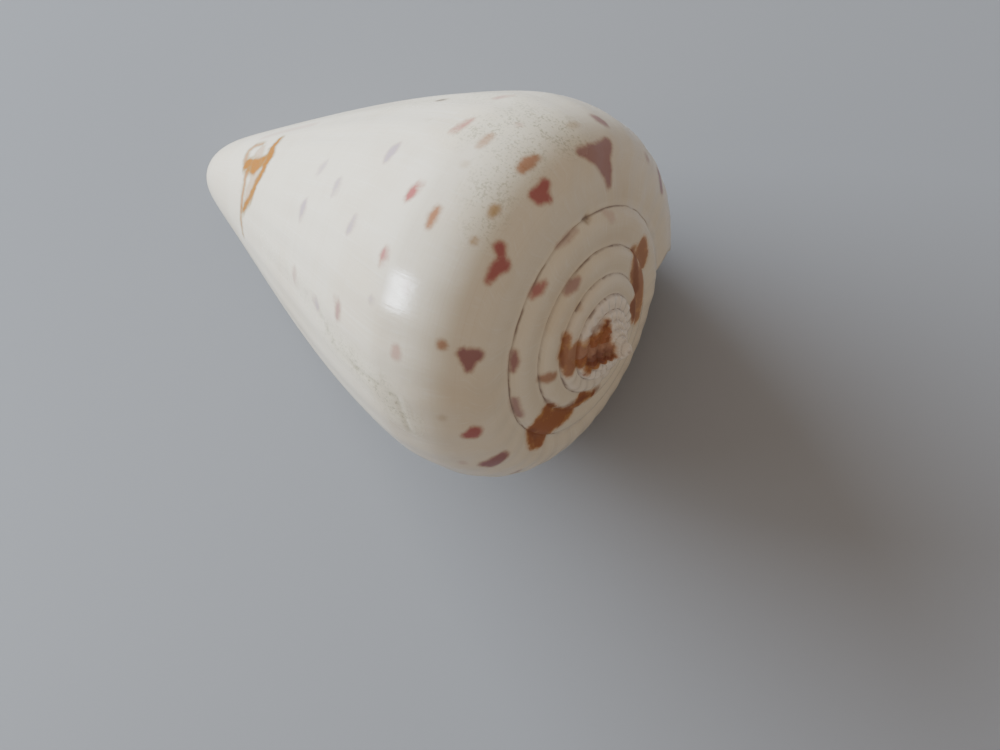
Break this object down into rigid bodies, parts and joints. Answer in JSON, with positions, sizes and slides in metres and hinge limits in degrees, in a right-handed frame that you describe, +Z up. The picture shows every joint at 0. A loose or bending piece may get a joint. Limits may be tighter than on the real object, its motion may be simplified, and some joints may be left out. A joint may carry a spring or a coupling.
{
  "type": "cone shell",
  "caption": "Worn, empty cone-shaped sea shell with a rounded shoulder, a low coiled spire, a pointed front end and a narrow slit mouth, lying on its side",
  "frame": {"origin": "On the table under the middle of the shell's bounding box, with the shell lying on its side, mouth down", "axes": "+Z is up from the table, +X is the way the spire points, seen from above, and -X is the way the front tip points"},
  "size_m": [0.0672, 0.0458, 0.0422],
  "materials": {
    "shell": "worn satin lime shell, cream white with small faded red-purple spots, and orange-brown stain in the grooves of the spire and at the front tip"
  },
  "bodies": {
    "root": {"shell": "shell"}
  },
  "joints": []
}
